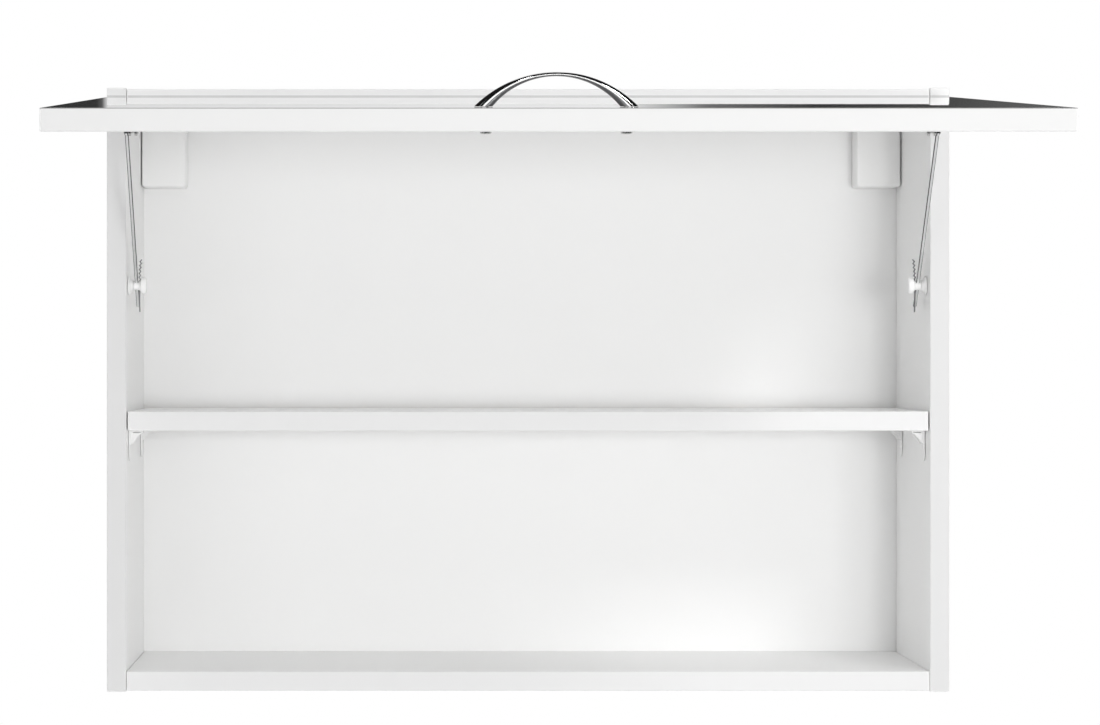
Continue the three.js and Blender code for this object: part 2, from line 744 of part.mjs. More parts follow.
// The arm: a folded channel from the mounting plate to the nose, open above.
function hingeArm(sign) {
    const rear = frontY + hingePlateSetback + hingePlateLength;
    const top = topUnderZ - 2 * fitGap - hingePlateThickness;
    const bottom = top - hingeArmHeight;
    const tip = nosePin.x - noseRadius - noseClearance;
    const outline = new THREE.Shape();
    outline.moveTo(rear, top);
    outline.lineTo(frontY + armNeck, top);
    outline.lineTo(nosePin.x, nosePin.y + noseRadius);
    outline.absarc(nosePin.x, nosePin.y, noseRadius, Math.PI / 2, Math.PI * 1.5);
    outline.lineTo(frontY + armNeck, nosePin.y - noseRadius);
    outline.lineTo(frontY + armThroat, bottom);
    outline.lineTo(rear, bottom);
    outline.closePath();
    const shell = extrudeAlongX(outline, hingeArmWidth);
    const channelHalf = hingeArmWidth / 2 - hingeArmWall;
    const channel = block(
        [-channelHalf, tip, bottom + hingeArmWall],
        [channelHalf, rear + overrun, top + overrun],
    );
    const noseSlot = block(
        [-channelHalf, tip, nosePin.y - noseRadius - noseClearance],
        [channelHalf, frontY + armNeck + overrun, top + overrun],
    );
    return cut(shell, channel, noseSlot).translate(sign * hingeX, 0, 0);
}

// The mounting plate: wings screwed to the top panel and a rib that fills the arm's channel.
function hingePlate(sign) {
    const front = frontY + hingePlateSetback;
    const middle = front + hingePlateLength / 2;
    const top = topUnderZ - fitGap;
    const under = top - hingePlateThickness;
    const wingShape = roundedRectangle(hingePlateWidth, hingeWingDepth, hingeWingRound);
    const wings = new THREE.ExtrudeGeometry(wingShape, {
        depth: hingePlateThickness, bevelEnabled: false, curveSegments: 4,
    });
    wings.translate(0, middle, under);
    const armHalf = hingeArmWidth / 2;
    const base = block([-armHalf, front, under], [armHalf, front + hingePlateLength, top]);
    const ribHalf = armHalf - hingeArmWall - fitGap;
    const rib = block(
        [-ribHalf, front + hingeRibInset, under - hingeRibDrop],
        [ribHalf, front + hingePlateLength - hingeRibInset, under + hingePlateThickness / 2],
    );
    const holes = sides.map((side) => rodAlongZ(
        hingeWingHoleRadius, under - overrun, top + overrun, side.sign * hingeWingHoles / 2, middle,
    ));
    return cut(join(wings, base, rib), ...holes).translate(sign * hingeX, 0, 0);
}

// The cranked link, drawn with the door open: down out of the cup, then back to the nose.
function hingeLink(sign) {
    const half = linkThickness / 2;
    const elbow = new THREE.Vector2(cupPinOpen.x + elbowSetback, nosePin.y + elbowRise);
    const drop = cupPinOpen.distanceTo(elbow);
    const tip = cupPinOpen.clone().lerp(elbow, linkTipGap / drop);
    const bendStart = elbow.clone().lerp(tip, 1 / 3);
    const bendEnd = elbow.clone().lerp(nosePin, 1 / 3);
    const path = new THREE.CurvePath();
    path.add(new THREE.LineCurve(tip, bendStart));
    path.add(new THREE.QuadraticBezierCurve(bendStart, elbow, bendEnd));
    path.add(new THREE.LineCurve(bendEnd, nosePin.clone()));
    const points = path.getPoints(5);
    const left = [];
    const right = [];
    points.forEach((point, index) => {
        const before = points[Math.max(index - 1, 0)];
        const after = points[Math.min(index + 1, points.length - 1)];
        const along = after.clone().sub(before).normalize();
        const aside = new THREE.Vector2(-along.y, along.x).multiplyScalar(half);
        left.push(point.clone().add(aside));
        right.push(point.clone().sub(aside));
    });
    const link = extrudeAlongX(new THREE.Shape([...left, ...right.reverse()]), linkWidth);
    const knuckles = [nosePin, tip].map((pin) => rodAlongX(
        half, -linkWidth / 2, linkWidth / 2, pin.x, pin.y, 12,
    ));
    return join(link, ...knuckles).translate(sign * hingeX, 0, 0);
}

for (const { name, sign } of sides) {
    door.add(part(`hinge_cup_${name}`, hingeCup(sign), finishes.steel));
    cabinet.add(part(`hinge_arm_${name}`, hingeArm(sign), finishes.steel));
    cabinet.add(part(`hinge_plate_${name}`, hingePlate(sign), finishes.steel));
    cabinet.add(part(`hinge_link_${name}`, hingeLink(sign), finishes.steel));
}

// ---------------------------------------------------------------- stays

// In the Y-Z plane: the rod's pivot on the open door, and the hub on the side panel.
const stayPin = new THREE.Vector2(doorInnerY + stayPinReach, doorTopZ - stayPinFromEdge);
const stayPinOpen = turned(stayPin, -openTurn).add(axisPoint);
const hub = new THREE.Vector2(frontY + hubSetback, -hubDrop);
const stayLine = hub.clone().sub(stayPinOpen);
const rodTurn = Math.atan2(stayLine.y, stayLine.x);
const rodX = innerHalf - stayPlane;
const springX = rodX - rodRadius - fitGap - springThickness / 2;

// Stands a piece drawn along local Y at a point of the Y-Z plane, in line with the rod.
function alongRod(sign, point) {
    const turn = new THREE.Matrix4().makeRotationX(rodTurn);
    return turn.setPosition(sign * rodX, point.x, point.y);
}

// A turned piece of the hub, whose axis runs inward from the side panel.
function onHub(steps, sign) {
    const piece = turnedPiece(steps, 24);
    return piece.rotateZ(sign * Math.PI / 2).translate(sign * innerHalf, hub.x, hub.y);
}

// The hub's base, screwed to the side panel.
function stayBase(sign) {
    const rimTop = fitGap + hubBaseRim;
    return onHub([
        [0, fitGap],
        [hubBaseRadius, fitGap],
        [hubBaseRadius, rimTop],
        [(hubBaseRadius + hubNeckRadius) / 2, (rimTop + hubBaseHeight) / 2],
        [hubNeckRadius, hubBaseHeight],
        [0, hubBaseHeight],
    ], sign);
}

// A bowed leaf that runs through the neck and lies against the rod.
function springLeaf(sign, clearance) {
    const circle = bowCircle(2 * springHalfHeight, springBow);
    const outerRadius = circle.radius + springThickness / 2 + clearance;
    const innerRadius = circle.radius - springThickness / 2 - clearance;
    const outline = new THREE.Shape();
    outline.absarc(-circle.radius, 0, outerRadius, -circle.half, circle.half);
    outline.absarc(-circle.radius, 0, innerRadius, circle.half, -circle.half, true);
    outline.closePath();
    const width = springWidth + 2 * clearance;
    const leaf = new THREE.ExtrudeGeometry(outline, { depth: width, bevelEnabled: false, curveSegments: 8 });
    leaf.rotateX(Math.PI / 2).translate(0, width / 2, 0);
    if (sign < 0) {
        leaf.rotateZ(Math.PI);
    }
    return leaf.translate(sign * springX, hub.x, hub.y);
}

// The slider: a neck under a mushroom cap, with a hole for the rod and a slot for the leaf.
function staySlider(sign) {
    const foot = hubBaseHeight + fitGap;
    const capFoot = foot + hubWaist;
    const capTop = capFoot + hubCapHeight;
    const body = onHub([
        [0, foot],
        [hubNeckRadius, foot],
        [hubNeckRadius, capFoot],
        [hubCapRadius, capFoot + hubCapFlare],
        [hubCapRadius, capTop - hubCapRound],
        [hubCapRadius - hubCapRound / 3, capTop - hubCapRound / 3],
        [hubCapRadius - hubCapRound, capTop],
        [0, capTop],
    ], sign);
    const holeRadius = rodRadius + fitGap;
    const hole = new THREE.CylinderGeometry(holeRadius, holeRadius, 4 * hubCapRadius, 12);
    hole.applyMatrix4(alongRod(sign, hub));
    return cut(body, hole, springLeaf(sign, fitGap));
}

// The rod: a plain round bar with a flattened eye at the door end.
function stayRod(sign) {
    const length = stayLine.length() + stayTail;
    const overlap = eyeRadius / 2;
    const bar = new THREE.CylinderGeometry(rodRadius, rodRadius, length - eyeRadius + overlap, 12);
    bar.translate(0, (length + eyeRadius - overlap) / 2, 0);
    const eye = rodAlongX(eyeRadius, -eyeThickness / 2, eyeThickness / 2, 0, 0, 20);
    const hole = rodAlongX(stayPinRadius + fitGap, -eyeThickness, eyeThickness, 0, 0, 12);
    const rod = cut(join(bar, eye), hole);
    return rod.applyMatrix4(alongRod(sign, stayPinOpen));
}

// Turns the faces of a mirrored solid outward again.
function flipFaces(geometry) {
    const index = geometry.index;
    for (let i = 0; i < index.count; i += 3) {
        const first = index.getX(i);
        index.setX(i, index.getX(i + 1));
        index.setX(i + 1, first);
    }
    geometry.computeVertexNormals();
}

// The door bracket: plate on the door, a cheek at each edge and the pin through both and the eye.
function stayBracket(sign) {
    const outerX = rodX - eyeThickness / 2 - fitGap;
    const innerX = outerX - bracketWidth;
    const plateFoot = doorInnerY + fitGap;
    const plate = new THREE.ExtrudeGeometry(roundedRectangle(bracketWidth, bracketLength, bracketRound), {
        depth: bracketPlate, bevelEnabled: false, curveSegments: 4,
    });
    plate.rotateX(Math.PI / 2).translate((outerX + innerX) / 2, plateFoot + bracketPlate, stayPin.y);
    const cheekFoot = plateFoot + bracketPlate / 4;
    const cheekShape = new THREE.Shape();
    cheekShape.moveTo(cheekFoot, stayPin.y + bracketCheekFoot / 2);
    cheekShape.lineTo(cheekFoot, stayPin.y - bracketCheekFoot / 2);
    cheekShape.lineTo(stayPin.x, stayPin.y - eyeRadius);
    cheekShape.absarc(stayPin.x, stayPin.y, eyeRadius, -Math.PI / 2, Math.PI / 2);
    cheekShape.closePath();
    const cheeks = [outerX - bracketPlate / 2, innerX + bracketPlate / 2].map((x) => (
        extrudeAlongX(cheekShape, bracketPlate, 6).translate(x, 0, 0)
    ));
    const pin = rodAlongX(
        stayPinRadius,
        innerX - stayPinHead,
        rodX + eyeThickness / 2 + stayPinHead,
        stayPin.x,
        stayPin.y,
        12,
    );
    const bracket = join(plate, ...cheeks, pin);
    if (sign < 0) {
        bracket.applyMatrix4(new THREE.Matrix4().makeScale(-1, 1, 1));
        flipFaces(bracket);
    }
    return bracket;
}

for (const { name, sign } of sides) {
    cabinet.add(part(`stay_base_${name}`, stayBase(sign), finishes.whitePlastic));
    cabinet.add(part(`stay_slider_${name}`, staySlider(sign), finishes.whitePlastic));
    cabinet.add(part(`stay_spring_${name}`, springLeaf(sign, 0), finishes.steel));
    cabinet.add(part(`stay_rod_${name}`, stayRod(sign), finishes.chrome));
    door.add(part(`stay_bracket_${name}`, stayBracket(sign), finishes.steel));
}

const group = new THREE.Group();
group.add(cabinet);

export default group;
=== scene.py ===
import json
import math

import bmesh
import bpy
from mathutils import Matrix, Vector


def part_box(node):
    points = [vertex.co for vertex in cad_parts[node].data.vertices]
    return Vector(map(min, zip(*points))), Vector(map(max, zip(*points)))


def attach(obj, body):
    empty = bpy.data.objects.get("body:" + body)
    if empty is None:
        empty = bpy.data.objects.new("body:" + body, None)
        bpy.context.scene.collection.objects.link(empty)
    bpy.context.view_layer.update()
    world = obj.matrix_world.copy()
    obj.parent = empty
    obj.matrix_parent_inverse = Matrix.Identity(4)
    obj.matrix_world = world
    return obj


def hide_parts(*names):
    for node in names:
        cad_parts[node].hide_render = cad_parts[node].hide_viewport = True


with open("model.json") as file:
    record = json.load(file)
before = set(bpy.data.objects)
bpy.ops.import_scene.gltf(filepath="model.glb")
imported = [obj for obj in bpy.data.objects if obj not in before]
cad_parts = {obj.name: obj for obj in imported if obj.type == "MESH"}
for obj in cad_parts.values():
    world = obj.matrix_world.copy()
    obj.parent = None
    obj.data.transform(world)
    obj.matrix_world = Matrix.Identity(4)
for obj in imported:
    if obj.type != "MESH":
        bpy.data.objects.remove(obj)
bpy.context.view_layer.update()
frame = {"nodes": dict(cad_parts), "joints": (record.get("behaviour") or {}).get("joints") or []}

# ---------------------------------------------------------------- camera
# The cabinet hangs on a wall and is seen level, straight on and from a little left of its middle,
# from below the open door. The frame is taken as 1100 by 725.

photo_width = 1100
photo_height = 725
focal_pixels = 3124.8
aim_pixel = (400.3, 356.3)  # where the view's level, square-on line meets the picture
film_width = 36.0

camera = bpy.data.objects.new("camera", bpy.data.cameras.new("camera"))
camera.location = (-0.1062, -2.7958, -0.2141)
camera.rotation_euler = (math.pi / 2, 0, 0)
camera.data.sensor_width = film_width
camera.data.lens = focal_pixels * film_width / photo_width
camera.data.shift_x = (photo_width / 2 - aim_pixel[0]) / photo_width
camera.data.shift_y = (aim_pixel[1] - photo_height / 2) / photo_width
bpy.context.scene.collection.objects.link(camera)
bpy.context.scene.camera = camera
bpy.context.scene.view_settings.view_transform = "Standard"


# ---------------------------------------------------------------- melamine boards
# Sides, top, bottom and shelf: 16 mm chipboard faced with white melamine, its front edges closed by
# a thin white band glued on hot, its rear edges left raw. Cams and dowels pull the corners together.


class Shade:
    """One socket of a finish. Sums of shades add Math nodes, and node() adds any other kind."""

    def __init__(self, tree, socket=None):
        self.tree = tree
        self.socket = socket

    def node(self, kind, settings=None, inputs=None, out=0):
        made = self.tree.nodes.new(kind)
        for name, value in (settings or {}).items():
            if name == "stops":
                ramp = made.color_ramp
                for index, (place, colour) in enumerate(value):
                    stop = ramp.elements[index] if index < 2 else ramp.elements.new(place)
                    stop.position = place
                    stop.color = colour
            else:
                setattr(made, name, value)
        for name, value in (inputs or {}).items():
            if isinstance(value, Shade):
                self.tree.links.new(value.socket, made.inputs[name])
            else:
                made.inputs[name].default_value = value
        return Shade(self.tree, made.outputs[out])

    def maths(self, operation, first, second=0.0):
        return self.node("ShaderNodeMath", {"operation": operation}, {0: first, 1: second})

    def __add__(self, other):
        return self.maths("ADD", self, other)

    def __sub__(self, other):
        return self.maths("SUBTRACT", self, other)

    def __mul__(self, other):
        return self.maths("MULTIPLY", self, other)

    def __gt__(self, other):
        return self.maths("GREATER_THAN", self, other)

    def __lt__(self, other):
        return self.maths("LESS_THAN", self, other)

    __radd__ = __add__
    __rmul__ = __mul__

    def __rsub__(self, other):
        return self.maths("SUBTRACT", other, self)

    def __abs__(self):
        return self.maths("ABSOLUTE", self)

    def mixed(self, first, second):
        """Colour first where this shade is 0, colour second where it is 1."""
        inputs = {0: self, 6: first, 7: second}
        return self.node("ShaderNodeMix", {"data_type": "RGBA"}, inputs, out=2)

    def ramp(self, low, high):
        """0 up to the value low, 1 from the value high, and even between them."""
        return self.node("ShaderNodeMapRange", inputs={0: self, 1: low, 2: high, 3: 0.0, 4: 1.0})

    def places(self):
        """Object coordinates, which are metres of the cabinet at rest."""
        return self.node("ShaderNodeTexCoord", out="Object")

    def facing(self):
        """The way a face looks, with the cabinet at rest."""
        return self.node("ShaderNodeTexCoord", out="Normal")

    def toward(self, way):
        """How far this vector goes along a fixed one."""
        settings = {"operation": "DOT_PRODUCT"}
        return self.node("ShaderNodeVectorMath", settings, {0: self, 1: way}, out="Value")

    def stretched(self, factors):
        return self.node("ShaderNodeVectorMath", {"operation": "MULTIPLY"}, {0: self, 1: factors})

    def xyz(self):
        split = self.node("ShaderNodeSeparateXYZ", inputs={0: self})
        outputs = split.socket.node.outputs
        return [Shade(self.tree, outputs[axis]) for axis in ("X", "Y", "Z")]

    def noise(self, where, scale, detail=2.0):
        inputs = {"Vector": where, "Scale": scale, "Detail": detail}
        return self.node("ShaderNodeTexNoise", inputs=inputs)


def finish(name, colour, roughness, **fixed):
    """A material with one Principled shader, that shader, and a shade to start patterns from."""
    material = bpy.data.materials.new(name)
    material.use_nodes = True
    tree = material.node_tree
    shader = tree.nodes["Principled BSDF"]
    shader.inputs["Base Color"].default_value = (*colour, 1)
    shader.inputs["Roughness"].default_value = roughness
    for socket, value in fixed.items():
        title = socket.replace("_", " ").title().replace("Ior", "IOR")
        shader.inputs[title].default_value = value
    return material, shader, Shade(tree)


def feed(shader, socket, shade):
    shade.tree.links.new(shade.socket, shader.inputs[socket])


def feed_bump(shader, height, distance, strength):
    inputs = {"Height": height, "Distance": distance, "Strength": strength}
    feed(shader, "Normal", height.node("ShaderNodeBump", inputs=inputs))


def grey(level):
    return (level, level, level, 1)


white = (0.95, 0.95, 0.947)
white_shade = (*white, 1)
cloud_shade = (0.93, 0.93, 0.927, 1)


def raw_chipboard(shade, where):
    """Pressed chips cut across: pale and brown flakes of 1 to 4 mm with dark pores."""
    flat = where.stretched((260, 260, 620))
    chips = shade.node("ShaderNodeTexVoronoi", inputs={"Vector": flat, "Scale": 1.0}, out="Color")
    pick = chips.xyz()[0]
    tone = pick.node("ShaderNodeValToRGB", {"stops": [
        (0.0, (0.16, 0.085, 0.04, 1)),
        (1.0, (0.62, 0.45, 0.27, 1)),
        (0.35, (0.36, 0.22, 0.11, 1)),
        (0.7, (0.5, 0.34, 0.19, 1)),
    ]}, {0: pick})
    pores = shade.noise(where, 900.0, 3.0) > 0.62
    return (pores * 0.7).mixed(tone, (0.07, 0.04, 0.02, 1))


def melamine(name, band_front, shaded_band_grey, lit_upper_grey=None):
    """Satin white with a pearl grain, a hairline behind the front edge band, raw rear edges."""
    band_depth = 0.0009
    hairline = 0.00013
    hairline_shade = (0.45, 0.44, 0.42, 1)
    painted_shadow_heights = (0.0016, 0.0026)  # heights of a painted shadow line on the band, where the open door's edge comes closest
    painted_shadow_grey = grey(0.35)
    painted_light_fade = (-0.03, -0.008)  # heights over which the band's painted shade gives way to its lighter upper grey, which is painted light
    square_on = 0.9  # least part of a face's direction that goes straight forward or back
    material, shader, shade = finish(name, white, 0.42, specular_ior_level=0.45)
    where = shade.places()
    _, y, z = where.xyz()
    depthwise = shade.facing().xyz()[1]
    rear = depthwise > square_on
    seam = (abs(y - (band_front + band_depth)) < hairline) * (1 - rear)
    # painted shade: the white front band is greyed, and lightened towards its top as painted light
    band = z.ramp(*painted_light_fade).mixed(grey(shaded_band_grey), grey(lit_upper_grey or shaded_band_grey))
    # painted shadow: a grey line across the band just above the open door's edge
    band_with_painted_shadow = ((z > painted_shadow_heights[0]) * (z < painted_shadow_heights[1]) * 0.45).mixed(band, painted_shadow_grey)
    cloud = shade.noise(where, 9.0, 1.0)
    clouded = (cloud * 0.5).mixed(white_shade, cloud_shade)
    banded = (depthwise < -square_on).mixed(clouded, band_with_painted_shadow)
    face = (seam * 0.35).mixed(banded, hairline_shade)
    feed(shader, "Base Color", rear.mixed(face, raw_chipboard(shade, where)))
    pearl = shade.noise(where, 1500.0, 2.0)
    feed(shader, "Roughness", 0.36 + pearl * 0.1 + rear * 0.4)
    chips = shade.noise(where, 700.0, 4.0)
    feed_bump(shader, pearl * (1 - rear) * 0.12 + chips * rear, 0.0004, 0.5)
    return material


front_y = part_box("side_panel_left")[0][1]
shelf_front_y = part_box("shelf")[0][1]
# the band greys are painted shade; the sides' lighter upper grey is painted light
side_finish = melamine("side_melamine", front_y, 0.72, 0.86)
board_finishes = {
    "side_panel_left": side_finish,
    "side_panel_right": side_finish,
    "bottom_panel": melamine("bottom_melamine", front_y, 0.8),
    "top_panel": melamine("top_melamine", front_y, 0.93),
    "shelf": melamine("shelf_melamine", shelf_front_y, 0.81),
}
for board, board_finish in board_finishes.items():
    frame["nodes"][board].material_slots[0].material = board_finish

# ---------------------------------------------------------------- back panel
# A 3 mm hardboard sheet slid into grooves: white foil towards the front, its brown ribbed press
# face towards the wall, with the two upper corners notched for the hangers.


def hardboard():
    foil = (0.935, 0.935, 0.932)
    weave_scale = 4200.0
    material, shader, shade = finish("white_faced_hardboard", foil, 0.45, specular_ior_level=0.4)
    where = shade.places()
    x, _, z = where.xyz()
    bare = 1 - (shade.facing().xyz()[1] < -0.9)
    fibres = shade.noise(where, 420.0, 5.0)
    brown = fibres.mixed((0.2, 0.11, 0.055, 1), (0.34, 0.2, 0.11, 1))
    feed(shader, "Base Color", bare.mixed((*foil, 1), brown))
    grain = shade.noise(where, 1300.0, 2.0)
    feed(shader, "Roughness", 0.4 + grain * 0.08 + bare * 0.35)
    weave = shade.maths("SINE", x * weave_scale) * shade.maths("SINE", z * weave_scale)
    feed_bump(shader, grain * 0.1 + weave * bare * 0.5, 0.0004, 0.5)
    return material


frame["nodes"]["back_panel"].material_slots[0].material = hardboard()

# ---------------------------------------------------------------- cams, bolts and dowels
# Die-cast zinc cams let into the outer faces, their driver's cross showing, with plated bolts and
# fluted beech dowels in the joints. They are the frame's own pieces, with their metal and wood.


def plated_metal(name, colour, roughness):
    """Nickel, zinc or bare steel, with a fine and a cloudy unevenness in its gloss."""
    material, shader, shade = finish(name, colour, roughness, metallic=1.0)
    where = shade.places()
    fine = shade.noise(where, 1800.0, 3.0)
    cloud = shade.noise(where, 120.0, 2.0)
    feed(shader, "Roughness", roughness - 0.08 + fine * 0.1 + cloud * 0.08)
    dull = tuple(0.86 * part for part in colour)
    feed(shader, "Base Color", cloud.mixed((*dull, 1), (*colour, 1)))
    feed_bump(shader, fine, 0.00006, 0.4)
    return material


def beech():
    material, shader, shade = finish("beech", (0.62, 0.42, 0.24), 0.7)
    grain = shade.noise(shade.places().stretched((60, 700, 700)), 1.0, 3.0)
    feed(shader, "Base Color", grain.mixed((0.5, 0.32, 0.17, 1), (0.7, 0.5, 0.31, 1)))
    feed_bump(shader, grain, 0.0002, 0.5)
    return material


nickel = plated_metal("nickel_plate", (0.66, 0.66, 0.65), 0.26)
zinc = plated_metal("cast_zinc", (0.55, 0.56, 0.57), 0.4)
wood = beech()
for name, node in frame["nodes"].items():
    if name.startswith("cam_bolt"):
        node.material_slots[0].material = nickel
    elif name.startswith("cam"):
        node.material_slots[0].material = zinc
    elif name.startswith("dowel"):
        node.material_slots[0].material = wood

# ---------------------------------------------------------------- door panel
# The same board as the carcass, banded on all four edges. Its outer face, which looks up while the
# door stands open, is high-gloss white; its inner face is satin like the cabinet.


def joint_named(name):
    return next(joint for joint in frame["joints"] if joint["name"] == name)


hinge = joint_named("door_hinge")
hinge_place = Vector(hinge["pos_m"])
open_turn = math.radians(max(hinge["range_deg"]) - min(hinge["range_deg"]))
# stands a piece drawn on the closed door, from the hinge axis, where the open door is
on_open_door = Matrix.Translation(hinge_place) @ Matrix.Rotation(-open_turn, 4, "X")


def gloss_board():
    """Satin white, but high gloss and a greyer white outside; its lower end greyed and a thin dark
    line at its arris are painted shade.
    """
    outer_shade = (0.75, 0.75, 0.748, 1)
    shaded_lower_end_grey = (0.67, 0.67, 0.668, 1)
    satin_roughness = 0.38
    gloss_roughness = 0.02
    material, shader, shade = finish("gloss_door", white, 0.3, coat_roughness=0.012)
    where = shade.places()
    facing = shade.facing()
    outward = facing.toward(on_open_door.to_3x3() @ Vector((0, -1, 0)))
    downward = facing.toward(on_open_door.to_3x3() @ Vector((0, 0, -1)))
    outer = outward > 0.9
    painted_shade_arris = (outward > 0.25) * (outward < 0.93)
    pearl = shade.noise(where, 1500.0, 2.0)
    rough = satin_roughness + pearl * 0.08
    feed(shader, "Roughness", outer * gloss_roughness + (1 - outer) * rough)
    feed(shader, "Coat Weight", outer * 1.0)
    cloud = shade.noise(where, 7.0, 1.0)
    faces = outer.mixed((cloud * 0.5).mixed(white_shade, cloud_shade), outer_shade)
    # painted shade: the white banded lower end is greyed
    boards = (downward > 0.9).mixed(faces, shaded_lower_end_grey)
    # painted shade: a thin dark line along the arris of the outer face
    feed(shader, "Base Color", (painted_shade_arris * 0.6).mixed(boards, grey(0.2)))
    feed_bump(shader, pearl * (1 - outer), 0.00006, 0.4)
    return material


frame["nodes"]["door_panel"].material_slots[0].material = gloss_board()

# ---------------------------------------------------------------- bow handle
# A cast zinc bow, polished and chromed, held by two screws through the door. Its section is a
# lens, deep at the feet and thin at the crown, with one line of light along its front as a painted
# highlight.


def piece(name, points, faces, material, body, slot, stands_for=(), place=None):
    """A new mesh, in metres, that rides on a body and stands for the named nodes."""
    sharp_from = math.radians(40)
    mesh = bpy.data.meshes.new(name)
    mesh.from_pydata([tuple(point) for point in points], [], faces)
    if place is not None:
        mesh.transform(place)
    shell = bmesh.new()
    shell.from_mesh(mesh)
    bmesh.ops.recalc_face_normals(shell, faces=shell.faces)
    shell.to_mesh(mesh)
    shell.free()
    mesh.materials.append(material)
    mesh.shade_smooth()
    mesh.set_sharp_from_angle(angle=sharp_from)
    made = bpy.data.objects.new(name, mesh)
    bpy.context.scene.collection.objects.link(made)
    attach(made, body)
    if stands_for:
        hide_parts(*stands_for)
    return made


def rings_to_faces(rings, ring_points, first=0):
    """Quads between rings of equal size, with a cap on both ends."""
    faces = []
    for ring in range(rings - 1):
        for step in range(ring_points):
            a = first + ring * ring_points + step
            b = first + ring * ring_points + (step + 1) % ring_points
            faces.append((a, b, b + ring_points, a + ring_points))
    last = first + (rings - 1) * ring_points
    faces.append(tuple(first + step for step in reversed(range(ring_points))))
    faces.append(tuple(last + step for step in range(ring_points)))
    return faces


handle_centres = 0.096
handle_rise = 0.0234
handle_crown = 0.003
handle_width = 0.012
handle_from_edge = 0.036  # door's lower edge to the line of the handle's screws
foot_outside = 0.008
foot_inside = 0.0045
touch_gap = 0.0003
board_thickness = 0.016
door_height = 0.498
door_inner_y = 0.014  # from the hinge axis, on the closed door
door_outer_y = door_inner_y - board_thickness
door_top_z = 0.009
handle_z = door_top_z - door_height + handle_from_edge


def chrome_plate():
    """Bright chrome, with painted shade under the bow and a painted highlight, a white satin line
    along the narrow ridge that faces forward.
    """
    highlight_line_width = 0.0001
    highlight_line_taper = 0.001  # how much of that width is lost per metre away from the middle
    material, shader, shade = finish("chrome_plate", (0.78, 0.785, 0.79), 0.06, metallic=1.0)
    where = shade.places()
    haze = shade.noise(where, 60.0, 2.0)
    rise = shade.facing().toward(on_open_door.to_3x3() @ Vector((0, -1, 0)))
    # painted shade: the chrome's base colour goes dark under the bow
    painted_shade_under = rise.ramp(-0.05, -0.4)
    ahead = on_open_door.to_3x3() @ Vector((0, 0, -1))
    tip = ahead.dot(on_open_door @ Vector((0, door_outer_y, handle_z - handle_width / 2)))
    behind_tip = tip - where.toward(ahead)
    # painted highlight: a white, barely metallic line along the ridge that faces forward
    painted_highlight_line = (behind_tip < highlight_line_width - abs(where.xyz()[0]) * highlight_line_taper) * (rise < 0.25)
    polished = haze.mixed((0.76, 0.765, 0.77, 1), (0.82, 0.825, 0.83, 1))
    shaded_under_bow = painted_shade_under.mixed(polished, (0.2, 0.2, 0.205, 1))
    feed(shader, "Roughness", 0.03 + haze * 0.04 + painted_shade_under * 0.12 + painted_highlight_line * 0.4)
    feed(shader, "Metallic", 1 - painted_highlight_line * 0.85)
    feed(shader, "Base Color", painted_highlight_line.mixed(shaded_under_bow, grey(0.95)))
    feed_bump(shader, shade.noise(where, 35.0, 1.0), 0.00012, 0.05)
    return material


chrome = chrome_plate()


def bow_arc(chord, rise):
    """Radius, centre height and half angle of the arc that rises over a chord."""
    radius = (chord * chord / 4 + rise * rise) / (2 * rise)
    return radius, rise - radius, math.asin(chord / 2 / radius)


def on_arc(arc, along):
    """The point of an arc at along, which is -1 and 1 at its feet."""
    radius, centre, half = arc
    return Vector((radius * math.sin(along * half), centre + radius * math.cos(along * half)))


def bow_handle():
    stations = 81
    section_points = 32
    squareness = 2.3  # of the section, where 2 is an ellipse
    outer_arc = bow_arc(handle_centres + 2 * foot_outside, handle_rise)
    inner_arc = bow_arc(handle_centres - 2 * foot_inside, handle_rise - handle_crown)

    def squared(value):
        return math.copysign(abs(value) ** (2 / squareness), value)

    points = []
    for station in range(stations):
        along = 2 * station / (stations - 1) - 1
        outer, inner = on_arc(outer_arc, along), on_arc(inner_arc, along)
        middle = (outer + inner) / 2
        deep = (outer - inner) / 2
        for step in range(section_points):
            turn = 2 * math.pi * step / section_points
            spot = middle + deep * squared(math.cos(turn))
            wide = squared(math.sin(turn)) * handle_width / 2
            points.append((spot.x, door_outer_y - touch_gap - max(spot.y, 0.0), handle_z + wide))
    return points, rings_to_faces(stations, section_points)


piece("bow_handle", *bow_handle(), chrome, "door", "chrome", ["handle"], on_open_door)

# ---------------------------------------------------------------- handle screws
# Two plated pan-head machine screws with a cross recess, their heads on the door's inner face.


def screw_head(radius, height, recess_length, recess_width, recess_depth, shank_radius, shank_length):
    """A head that stands up local Z from z = 0, stamped with a cross, and its shank below."""
    around = 48
    round_steps = 5
    crown_steps = 12
    profile = [
        (shank_radius, -shank_length), (shank_radius, 0.0), (radius, 0.0), (radius, height * 0.4),
    ]
    for step in range(1, round_steps):
        turn = step / round_steps * math.pi / 2
        reach = radius - 0.3 * height * (1 - math.cos(turn))
        profile.append((reach, height * (0.4 + 0.4 * math.sin(turn))))
    rim_radius, rim_height = profile[-1]
    for step in range(1, crown_steps):
        share = 1 - step / crown_steps
        level = rim_height + (height - rim_height) * (1 - share * share)
        profile.append((rim_radius * share, level))
    points = []
    for reach, level in profile:
        for step in range(around):
            turn = 2 * math.pi * step / around
            x, y = reach * math.cos(turn), reach * math.sin(turn)
            depth = cross_depth(x, y, level, recess_length, recess_width, recess_depth)
            points.append((x, y, level - depth))
    return points, rings_to_faces(len(profile), around)


def cross_depth(x, y, level, length, width, depth):
    """How deep a cross recess goes at a point of a head's top."""
    if level <= 0:
        return 0.0
    soft = width / 3

    def bar(along, across):
        inside = min((width / 2 - abs(across)) / soft, (length / 2 - abs(along)) / (2 * soft))
        return min(max(inside, 0.0), 1.0)

    return depth * max(bar(x, y), bar(y, x))


